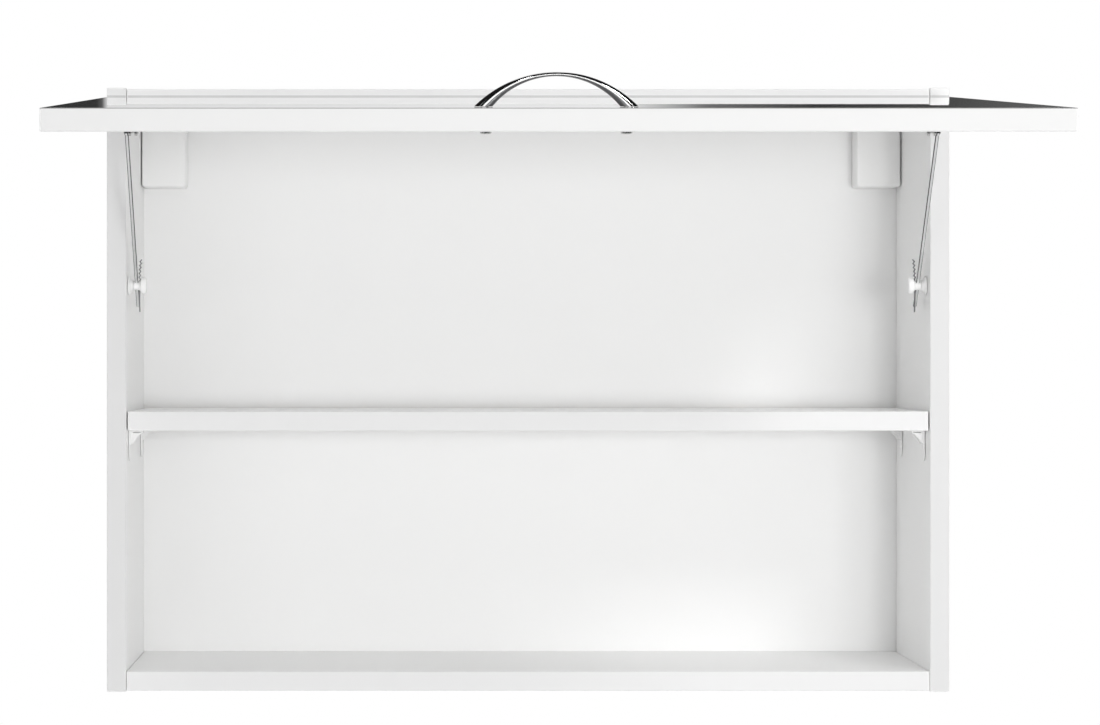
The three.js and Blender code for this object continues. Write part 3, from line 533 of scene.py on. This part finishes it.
pan_screw = screw_head(
    radius=0.004, height=0.0024, recess_length=0.0044, recess_width=0.0011, recess_depth=0.0014,
    shank_radius=0.002, shank_length=0.0194,
)
# turns local Z out of the closed door's inner face
from_door = Matrix.Rotation(-math.pi / 2, 4, "X")
for side, sign in (("left", -1), ("right", 1)):
    stand = Matrix.Translation((sign * handle_centres / 2, door_inner_y + touch_gap, handle_z))
    turned = Matrix.Rotation(0.4 * sign + 0.3, 4, "Z")
    piece(
        f"pan_screw_{side}", *pan_screw, nickel, "door", "zinc_steel",
        [f"handle_screw_{side}"], on_open_door @ stand @ from_door @ turned,
    )

# ---------------------------------------------------------------- shelf supports
# White moulded supports pushed into the side panels: a wall leaf that thins towards its round foot,
# a ledge under the shelf, a gusset at each end of the ledge and a pin in the panel.


def moulded_plastic(name, colour):
    material, shader, shade = finish(name, colour, 0.34, specular_ior_level=0.5)
    where = shade.places()
    spark = shade.noise(where, 2200.0, 2.0)
    flow = shade.noise(where, 45.0, 2.0)
    feed(shader, "Roughness", 0.3 + spark * 0.1)
    dull = tuple(0.965 * part for part in colour)
    feed(shader, "Base Color", flow.mixed((*colour, 1), (*dull, 1)))
    feed_bump(shader, spark, 0.00005, 0.4)
    return material


class Form:
    """The points and faces of one piece, gathered from closed shells."""

    def __init__(self):
        self.points = []
        self.faces = []

    def loft(self, rings, place=Matrix.Identity(4)):
        """A closed shell through rings of equal size."""
        first = len(self.points)
        for ring in rings:
            self.points += [place @ Vector(point) for point in ring]
        self.faces += rings_to_faces(len(rings), len(rings[0]), first)

    def slab(self, low, high):
        corners = [(low[0], low[1]), (high[0], low[1]), (high[0], high[1]), (low[0], high[1])]
        self.extruded(corners, low[2], high[2])

    def turned(self, profile, place=Matrix.Identity(4), around=48):
        """A turned shell from (radius, height) steps up local Z."""
        turns = [2 * math.pi * step / around for step in range(around)]
        rings = [
            [(radius * math.cos(turn), radius * math.sin(turn), height) for turn in turns]
            for radius, height in profile
        ]
        self.loft(rings, place)

    def extruded(self, outline, low, high, place=Matrix.Identity(4)):
        """A flat outline in local X and Y, thickened from low to high."""
        self.loft([[(x, y, low) for x, y in outline], [(x, y, high) for x, y in outline]], place)


def eased(made, width):
    """Rounds a piece's sharp edges."""
    rounding = made.modifiers.new("eased_edges", "BEVEL")
    rounding.width = width
    rounding.segments = 2
    rounding.limit_method = "ANGLE"
    rounding.angle_limit = math.radians(35)


def mirrored_for(sign):
    """Mirrors in X what is drawn for a wall on its left, where it goes on the right."""
    return Matrix.Scale(-sign, 4, Vector((1, 0, 0)))


plastic = moulded_plastic("white_moulding", (0.96, 0.96, 0.956))
inner_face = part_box("side_panel_right")[0][0]
# for each side its sign in X, and the turn that sends local Z from its panel into the cabinet
from_left_wall = Matrix.Rotation(math.pi / 2, 4, "Y")
from_right_wall = Matrix.Rotation(-math.pi / 2, 4, "Y")
walls = {"left": (-1, from_left_wall), "right": (1, from_right_wall)}

support_half = 0.007
support_height = 0.026
support_ledge = 0.011
support_sheet = 0.002
support_pin_radius = 0.0025
support_pin_length = 0.008
support_pin_drop = 0.014
support_pin_root = 0.001  # inside the leaf, so that the pin joins it
leaf_margin = 0.0004  # the leaf's reach past the gussets on each side
leaf_least = 0.0005
leaf_most = 0.0038
gusset_tip = (0.0101, -0.0024)
gusset_foot = (0.0025, -0.011)
gusset_corners = 8


def shelf_support():
    """Drawn for the left wall, at x = 0, with the ledge's top at z = 0."""
    form = Form()
    rings = []
    stations = 27
    for station in range(stations):
        drop = support_height * station / (stations - 1)
        below = max(drop - (support_height - support_half), 0.0)
        half = math.sqrt(max(support_half ** 2 - below ** 2, 0.0)) + leaf_margin
        thick = leaf_least + (leaf_most - leaf_least) * (1 - drop / support_height) ** 2.2
        rings.append([
            (0, -half, -drop), (thick, -half, -drop), (thick, half, -drop), (0, half, -drop),
        ])
    form.loft(rings)
    form.slab((0, -support_half, -support_sheet), (support_ledge, support_half, 0))
    gusset = [(0.0, -0.001), (support_ledge - 0.0005, -0.001), gusset_tip]
    for step in range(1, gusset_corners + 1):
        share = step / gusset_corners
        gusset.append((
            gusset_tip[0] + share * (gusset_foot[0] - gusset_tip[0]),
            gusset_tip[1] + share ** 1.25 * (gusset_foot[1] - gusset_tip[1]),
        ))
    gusset.append((0.0, gusset_foot[1] - 0.0015))
    upright = Matrix.Rotation(math.pi / 2, 4, "X")
    for low in (-support_half, support_half - support_sheet):
        form.extruded(gusset, low, low + support_sheet, upright)
    # from its root the pin runs towards -X, into the side panel
    pin = Matrix.Translation((support_pin_root, 0, -support_pin_drop)) @ from_right_wall
    form.turned([
        (support_pin_radius, 0), (support_pin_radius, support_pin_length),
        (support_pin_radius - 0.0007, support_pin_length + 0.0009),
    ], pin, 24)
    return form


support = shelf_support()
for side, (sign, _) in walls.items():
    for row in ("front", "rear"):
        name = f"shelf_support_{row}_{side}"
        low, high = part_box(name)
        middle_y = (low[1] + high[1]) / 2
        stand = Matrix.Translation((sign * (inner_face - touch_gap), middle_y, high[2]))
        made = piece(
            f"moulded_support_{row}_{side}", support.points, support.faces,
            plastic, "carcass", "white_plastic", [name], stand @ mirrored_for(sign),
        )
        eased(made, 0.0003)

# ---------------------------------------------------------------- hanger covers
# Thin white caps clipped over the wall hangers in the upper rear corners, open towards the back,
# their front edges and corners well rounded.

cover_wall = 0.0015
cover_corner = 0.003
cover_round = 0.0019
cover_gap = 0.0006  # more than the frame's, so that the slit beside the side panel shows


def rounded_outline(width, height, corner, steps=6):
    """A rectangle with rounded corners, centred on the origin."""
    outline = []
    for quarter, (x, y) in enumerate(((1, 1), (-1, 1), (-1, -1), (1, -1))):
        for step in range(steps + 1):
            turn = (quarter + step / steps) * math.pi / 2
            outline.append((
                x * (width / 2 - corner) + corner * math.cos(turn),
                y * (height / 2 - corner) + corner * math.sin(turn),
            ))
    return outline


def hanger_cover(width, height, depth):
    """Drawn with its open rear at y = 0 and its front towards -Y."""
    round_steps = 6
    least_corner = 0.0006
    # (inset from the outline, reach forward): back along the inside, then forward on the outside
    profile = [(cover_wall, depth - cover_wall), (cover_wall, 0.0), (0.0, 0.0)]
    for step in range(round_steps + 1):
        turn = step / round_steps * math.pi / 2
        reach = depth - cover_round * (1 - math.sin(turn))
        profile.append((cover_round * (1 - math.cos(turn)), reach))
    rings = []
    for inset, reach in profile:
        corner = max(cover_corner - inset, least_corner)
        outline = rounded_outline(width - 2 * inset, height - 2 * inset, corner)
        rings.append([(x, -reach, z) for x, z in outline])
    form = Form()
    form.loft(rings)
    return form


for side, (sign, _) in walls.items():
    low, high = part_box(f"hanger_cover_{side}")
    cover = hanger_cover(high[0] - low[0] - cover_gap, high[2] - low[2], high[1] - low[1])
    middle = (low + high) / 2
    stand = Matrix.Translation((middle[0] - sign * cover_gap / 2, high[1], middle[2]))
    piece(
        f"moulded_cover_{side}", cover.points, cover.faces,
        plastic, "carcass", "white_plastic", [f"hanger_cover_{side}"], stand,
    )

# ---------------------------------------------------------------- wall hangers
# Behind each cover a folded steel body, with a flat hook through the back panel that drops over a
# rail on the wall. They are the frame's own pieces, nickel plated.

for side in walls:
    for part in ("hanger_body", "hanger_hook"):
        frame["nodes"][f"{part}_{side}"].material_slots[0].material = nickel

# ---------------------------------------------------------------- hinges
# Pressed steel cup hinges, nickel plated: the cup is let into the door and held by two screws
# through its ears, the arm is clipped on a plate with a screw through each wing.

ear_spacing = 0.045
ear_thick = 0.0012
ear_drop = 0.009  # the cup's middle to the line of its screws
cup_radius = 0.0175
cup_from_edge = 0.005
wing_holes = 0.032
wing_drop = 0.0027  # the top of the plate to the seat of its screws
ear_place = (
    door_inner_y + touch_gap + ear_thick, door_top_z - cup_from_edge - cup_radius - ear_drop,
)

for side in walls:
    for part in ("hinge_cup", "hinge_arm", "hinge_plate", "hinge_link"):
        frame["nodes"][f"{part}_{side}"].material_slots[0].material = nickel

flat_screw = screw_head(
    radius=0.0033, height=0.0013, recess_length=0.0036, recess_width=0.0009, recess_depth=0.0009,
    shank_radius=0.0016, shank_length=0.009,
)


def small_screw(name, body, place, turn):
    turned = Matrix.Rotation(turn, 4, "Z")
    piece(name, *flat_screw, nickel, body, "zinc_steel", (), place @ turned)


for side, (sign, _) in walls.items():
    low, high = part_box(f"hinge_plate_{side}")
    middle = (low + high) / 2
    for end, reach in (("outer", sign), ("inner", -sign)):
        wing_x = middle[0] + reach * wing_holes / 2
        wing = Matrix.Translation((wing_x, middle[1], high[2] - wing_drop))
        head_down = Matrix.Rotation(math.pi, 4, "X")
        small_screw(f"plate_screw_{end}_{side}", "carcass", wing @ head_down, 0.5 + reach)
        ear = Matrix.Translation((middle[0] + reach * ear_spacing / 2, *ear_place))
        small_screw(f"cup_screw_{end}_{side}", "door", on_open_door @ ear @ from_door, 0.2 - reach)

# ---------------------------------------------------------------- stay bases and sliders
# A white moulded hub on each side panel: the base, and over it a slider with a mushroom cap that
# the rod runs through. Their waist is hollowed like an hourglass.

hub_low, hub_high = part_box("stay_base_left")
hub_y = (hub_low[1] + hub_high[1]) / 2
hub_z = (hub_low[2] + hub_high[2]) / 2


def hollow_curve(start, end, bend, steps=8):
    """Points from start to end on a curve pulled towards bend."""
    curve = []
    for step in range(steps + 1):
        share = step / steps
        a, b, c = (1 - share) ** 2, 2 * share * (1 - share), share ** 2
        curve.append(tuple(a * p + b * q + c * r for p, q, r in zip(start, bend, end)))
    return curve


# (radius, distance from the side panel)
base_profile = [(0.0077, 0.0003), (0.008, 0.0006), (0.008, 0.0014)]
base_profile += hollow_curve((0.0078, 0.0018), (0.0044, 0.0044), (0.0055, 0.0024))
slider_profile = hollow_curve((0.0042, 0.0047), (0.0036, 0.0078), (0.0035, 0.0056))
slider_profile += hollow_curve((0.0038, 0.0088), (0.0069, 0.0112), (0.0046, 0.0108))
slider_profile += hollow_curve((0.007, 0.0118), (0.0056, 0.0154), (0.0071, 0.0152))
slider_profile.append((0.0035, 0.0156))

for side, (sign, inward) in walls.items():
    on_hub = Matrix.Translation((sign * inner_face, hub_y, hub_z)) @ inward
    base = Form()
    base.turned(base_profile, on_hub)
    piece(
        f"hub_base_{side}", base.points, base.faces,
        plastic, "carcass", "white_plastic", [f"stay_base_{side}"],
    )
    slider = Form()
    slider.turned(slider_profile, on_hub)
    piece(
        f"hub_slider_{side}", slider.points, slider.faces,
        plastic, f"stay_slider_{side}", "white_plastic", [f"stay_slider_{side}"],
    )

# ---------------------------------------------------------------- stay springs
# A bowed strip of spring steel through each slider, pressed against the rod; its upper half is
# corrugated.

spring_half = 0.022
spring_bow = 0.0012
lower_bow_share = 0.2
spring_thick = 0.0009
spring_width = 0.003
tongue_top = -0.012  # below this height the strip narrows
tongue_share = 0.75
wave_from = 0.0045
wave_pitch = 0.0033
wave_height = 0.00055
rod_plane = 0.0073  # side panel's inner face to the rod's middle
rod_radius = 0.0015
spring_gap = 0.0005  # the rod's clearance to the strip's middle, past touch_gap
spring_plane = rod_plane + rod_radius + touch_gap + spring_gap


def spring_leaf():
    """Drawn for the left wall: x is the distance from the side panel, z = 0 the hub's middle."""
    rings = []
    stations = 133
    for station in range(stations):
        z = spring_half * (2 * station / (stations - 1) - 1)
        past = max(z - wave_from, 0.0)
        wave = wave_height * math.sin(past / wave_pitch * 2 * math.pi)
        bow = spring_bow * (z / spring_half) ** 2 * (1.0 if z > 0 else lower_bow_share)
        half = spring_width / 2 * (1.0 if z > tongue_top else tongue_share)
        near = spring_plane + bow + wave - spring_thick / 2
        far = near + spring_thick
        rings.append([(near, -half, z), (far, -half, z), (far, half, z), (near, half, z)])
    form = Form()
    form.loft(rings)
    return form


leaf = spring_leaf()
spring_steel = plated_metal("spring_steel", (0.3, 0.3, 0.31), 0.32)
for side, (sign, _) in walls.items():
    stand = Matrix.Translation((sign * inner_face, hub_y, hub_z)) @ mirrored_for(sign)
    piece(
        f"spring_strip_{side}", leaf.points, leaf.faces,
        spring_steel, f"stay_slider_{side}", "zinc_steel", [f"stay_spring_{side}"], stand,
    )

# ---------------------------------------------------------------- stay rods
# Drawn steel bars, chromed, with a flattened eye round the bracket's pin. They run through the
# sliders and past them while the door is open.

eye_radius = 0.0042
eye_thick = 0.0026
eye_easing = 0.0005
eye_steps = 40
pin_radius = 0.002
rod_neck = (0.003, 0.005)  # from the pin's middle, where the rod leaves its eye
rod_tip_rise = 0.0008  # the slanted rod's lowest point to the middle of its end
rod_chamfer = 0.0006
rod_tip_radius = 0.0011


def drawn_chrome():
    """Chrome over a drawn bar, duller along its two flanks and painted dark there as shade."""
    material, shader, shade = finish("drawn_chrome", (0.8, 0.805, 0.81), 0.1, metallic=1.0)
    painted_dark_flank = abs(shade.facing().xyz()[0]).ramp(0.5, 0.7)
    haze = shade.noise(shade.places(), 300.0, 2.0)
    # painted shade: the base colour goes near black along both flanks
    feed(shader, "Base Color", painted_dark_flank.mixed((0.85, 0.855, 0.86, 1), (0.05, 0.05, 0.052, 1)))
    feed(shader, "Roughness", 0.07 + haze * 0.05 + painted_dark_flank * 0.1)
    return material


rod_finish = drawn_chrome()
for side, (sign, inward) in walls.items():
    pin_place = Vector(joint_named(f"stay_rod_{side}_pivot")["pos_m"])
    down_rod = Vector(joint_named(f"stay_slide_{side}")["axis"]).normalized()
    if down_rod.z > 0:
        down_rod.negate()
    rod_low_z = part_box(f"stay_rod_{side}")[0][2]
    rod_end = (rod_low_z + rod_tip_rise - pin_place.z) / down_rod.z
    along = Matrix.Translation(pin_place) @ down_rod.to_track_quat("Z", "Y").to_matrix().to_4x4()
    rod = Form()
    rod.turned([
        (rod_radius * 0.9, rod_neck[0]), (rod_radius, rod_neck[1]),
        (rod_radius, rod_end - rod_chamfer), (rod_tip_radius, rod_end),
    ], along, 32)
    bore = pin_radius + touch_gap
    rim = [
        (bore, -eye_thick / 2), (eye_radius - eye_easing, -eye_thick / 2),
        (eye_radius, -eye_thick / 2 + eye_easing), (eye_radius, eye_thick / 2 - eye_easing),
        (eye_radius - eye_easing, eye_thick / 2), (bore, eye_thick / 2),
    ]
    first = len(rod.points)
    rod.turned(rim, Matrix.Translation(pin_place) @ inward, eye_steps)
    # the eye's two flat caps give way to the wall of its bore
    del rod.faces[-2:]
    far_ring = (len(rim) - 1) * eye_steps
    for step in range(eye_steps):
        a, b = first + step, first + (step + 1) % eye_steps
        rod.faces.append((b, a, a + far_ring, b + far_ring))
    piece(
        f"stay_bar_{side}", rod.points, rod.faces,
        rod_finish, f"stay_rod_{side}", "chrome", [f"stay_rod_{side}"],
    )

# ---------------------------------------------------------------- stay brackets
# Nickel-plated steel brackets on the door's inner face: a plate with two screws, a cheek at each of
# its edges, and a riveted pin through both cheeks and the rod's eye.

bracket_width = 0.007
bracket_length = 0.028
bracket_sheet = 0.002
bracket_corner = 0.003
pin_from_edge = 0.074
pin_reach = 0.0102
pin_overhang = 0.0008
cheek_foot = 0.013
cheek_rise = 0.0005  # the cheek's foot above the door's face, inside the plate
screw_offset = 0.0105


def stay_bracket():
    """Drawn for the right side on the closed door, from the rod's plane: x grows to the panel."""
    form = Form()
    outer_x = -eye_thick / 2 - touch_gap
    inner_x = outer_x - bracket_width
    foot_y = door_inner_y + touch_gap
    pin_y = door_inner_y + pin_reach
    pin_z = door_top_z - pin_from_edge
    plate = rounded_outline(bracket_width, bracket_length, bracket_corner)
    flat = Matrix.Translation(((outer_x + inner_x) / 2, foot_y, pin_z)) @ from_door
    form.extruded(plate, 0.0, bracket_sheet, flat)
    cheek = [
        (foot_y + cheek_rise, pin_z + cheek_foot / 2), (foot_y + cheek_rise, pin_z - cheek_foot / 2),
    ]
    corners = 12
    for step in range(corners + 1):
        turn = (step / corners - 0.5) * math.pi
        cheek.append((pin_y + eye_radius * math.cos(turn), pin_z + eye_radius * math.sin(turn)))
    # local x, y, z stand for the door's y, z, x
    across = Matrix(((0, 0, 1, 0), (1, 0, 0, 0), (0, 1, 0, 0), (0, 0, 0, 1)))
    form.extruded(cheek, outer_x - bracket_sheet, outer_x, across)
    form.extruded(cheek, inner_x, inner_x + bracket_sheet, across)
    along_pin = Matrix.Translation((0, pin_y, pin_z)) @ Matrix.Rotation(math.pi / 2, 4, "Y")
    inner_end = inner_x - pin_overhang
    outer_end = eye_thick / 2 + pin_overhang
    form.turned([
        (pin_radius + 0.0004, inner_end), (pin_radius + 0.001, inner_end + 0.0004),
        (pin_radius + 0.001, inner_end + 0.0008), (pin_radius, inner_end + 0.0008),
        (pin_radius, outer_end - 0.0006), (pin_radius + 0.0008, outer_end - 0.0006),
        (pin_radius + 0.0008, outer_end - 0.0002), (pin_radius + 0.0003, outer_end),
    ], along_pin, 32)
    return form


bracket = stay_bracket()
bracket_middle = inner_face - rod_plane - eye_thick / 2 - touch_gap - bracket_width / 2
for side, (sign, _) in walls.items():
    stand = mirrored_for(-sign) @ Matrix.Translation((inner_face - rod_plane, 0, 0))
    made = piece(
        f"door_bracket_{side}", bracket.points, bracket.faces,
        nickel, "door", "zinc_steel", [f"stay_bracket_{side}"], on_open_door @ stand,
    )
    eased(made, 0.00025)
    for end, offset in (("upper", screw_offset), ("lower", -screw_offset)):
        spot = Matrix.Translation((
            sign * bracket_middle, door_inner_y + touch_gap + bracket_sheet,
            door_top_z - pin_from_edge + offset,
        ))
        place = on_open_door @ spot @ from_door
        small_screw(f"bracket_screw_{end}_{side}", "door", place, offset * 90)

# ---------------------------------------------------------------- studio
# A plain white studio: a pale floor well below the hanging cabinet, two lamps in front to the
# right, a broad one to the left and two above. Cards that only reflections show stand around, dark
# ones on all sides and a toned one behind, and give the chrome its dark and light lines.


def flat_card(name, centre, size, material, rotation=(0, 0, 0)):
    mesh = bpy.data.meshes.new(name)
    x, y = size[0] / 2, size[1] / 2
    mesh.from_pydata([(-x, -y, 0), (x, -y, 0), (x, y, 0), (-x, y, 0)], [], [(0, 1, 2, 3)])
    mesh.materials.append(material)
    card = bpy.data.objects.new(name, mesh)
    card.location = centre
    card.rotation_euler = rotation
    bpy.context.scene.collection.objects.link(card)
    return card


floor_material, floor_shader, floor_shade = finish("studio_floor", (0.84, 0.84, 0.84), 0.6)
worn = floor_shade.noise(floor_shade.places(), 20.0)
feed(floor_shader, "Roughness", 0.55 + worn * 0.1)
flat_card("floor", (0, -0.3, -1.65), (7, 6), floor_material)


def toned_card(name, tones):
    """An emitting finish whose grey follows the card's x in metres: (x, grey) in order."""
    material = bpy.data.materials.new(name)
    material.use_nodes = True
    tree = material.node_tree
    tree.nodes.remove(tree.nodes["Principled BSDF"])
    shade = Shade(tree)
    low, high = tones[0][0], tones[-1][0]
    across = shade.places().xyz()[0].ramp(low, high)
    ends_first = [tones[0], tones[-1], *tones[1:-1]]
    stops = [((x - low) / (high - low), grey(level)) for x, level in ends_first]
    tone = shade.node("ShaderNodeValToRGB", {"stops": stops}, {0: across})
    glow = shade.node("ShaderNodeEmission", inputs={"Color": tone, "Strength": 1.0})
    tree.links.new(glow.socket, tree.nodes["Material Output"].inputs["Surface"])
    return material


def reflected_card(name, centre, size, material, rotation=(0, 0, 0)):
    """A card that only glossy finishes see."""
    card = flat_card(name, centre, size, material, rotation)
    card.visible_camera = False
    card.visible_diffuse = False
    card.visible_shadow = False
    card.visible_transmission = False


cloth_half = 3.0
upright = (math.pi / 2, 0, 0)
edgeways = (0, math.pi / 2, 0)
dark_cloth = toned_card("dark_cloth", [(-cloth_half, 0.012), (cloth_half, 0.012)])
grey_cloth = toned_card("grey_cloth", [(-cloth_half, 0.06), (cloth_half, 0.06)])
rear_tones = toned_card("rear_card", [
    (-2.0, 0.03), (-0.757, 0.03), (-0.745, 0.71), (0.36, 0.8),
    (0.56, 0.14), (0.8, 0.03), (1.05, 0.05), (1.25, 0.1),
])
reflected_card("rear_card", (0, 4.0, 1.5), (9, 3.4), rear_tones, upright)
reflected_card("overhead_card", (0, -0.2, 1.9), (6, 5), dark_cloth)
reflected_card("low_card", (0, -2.7, -1.3), (6, 3.8), grey_cloth)
reflected_card("low_front_card", (0, -4.6, -0.95), (7, 1.1), grey_cloth, upright)
reflected_card("front_card", (0, -4.5, 2.2), (7, 3.8), dark_cloth, upright)
for side, (sign, _) in walls.items():
    reflected_card(f"side_card_{side}", (sign * 2.6, -2.0, 0.2), (2.8, 3.0), dark_cloth, edgeways)

# the air is white where it is seen or mirrored, and lights everything less strongly
ambient = 0.59
world = bpy.data.worlds.new("studio_air")
bpy.context.scene.world = world
world.use_nodes = True
air = Shade(world.node_tree)
camera_ray = air.node("ShaderNodeLightPath", out="Is Camera Ray")
rays = camera_ray.socket.node.outputs
glossy_ray = Shade(world.node_tree, rays["Is Glossy Ray"])
through_ray = Shade(world.node_tree, rays["Is Transmission Ray"])
seen = air.maths("MINIMUM", camera_ray + glossy_ray + through_ray, 1.0)
strength = ambient + (1 - ambient) * seen
background = world.node_tree.nodes["Background"]
background.inputs["Color"].default_value = grey(1)
world.node_tree.links.new(strength.socket, background.inputs["Strength"])


def soft_lamp(name, place, aim, size, watts, mirrored=True):
    """A rectangular lamp. One that isn't mirrored leaves no patch in the closed door's gloss."""
    lamp = bpy.data.lights.new(name, "AREA")
    lamp.shape = "RECTANGLE"
    lamp.size, lamp.size_y = size
    lamp.energy = watts
    holder = bpy.data.objects.new(name, lamp)
    holder.location = place
    holder.rotation_euler = (Vector(aim) - Vector(place)).to_track_quat("-Z", "Y").to_euler()
    holder.visible_glossy = mirrored
    bpy.context.scene.collection.objects.link(holder)


soft_lamp("key_lamp", (0.8, -2.5, -0.28), (0.1, -0.1, -0.27), (0.6, 0.42), 9.8, mirrored=False)
soft_lamp(
    "hard_key_lamp", (0.52, -2.9, -0.25), (-0.1, -0.2, -0.25), (0.36, 0.36), 14.3, mirrored=False,
)
soft_lamp("fill_lamp", (-1.5, -3.1, -0.28), (-0.05, -0.1, -0.27), (1.6, 0.5), 6.8)
soft_lamp("top_lamp", (-0.55, -2.4, 1.85), (0.0, -0.3, 0.0), (0.35, 0.35), 7)
soft_lamp("right_top_lamp", (1.4, -2.2, 1.5), (0.2, -0.2, 0.0), (0.6, 0.6), 16.5)
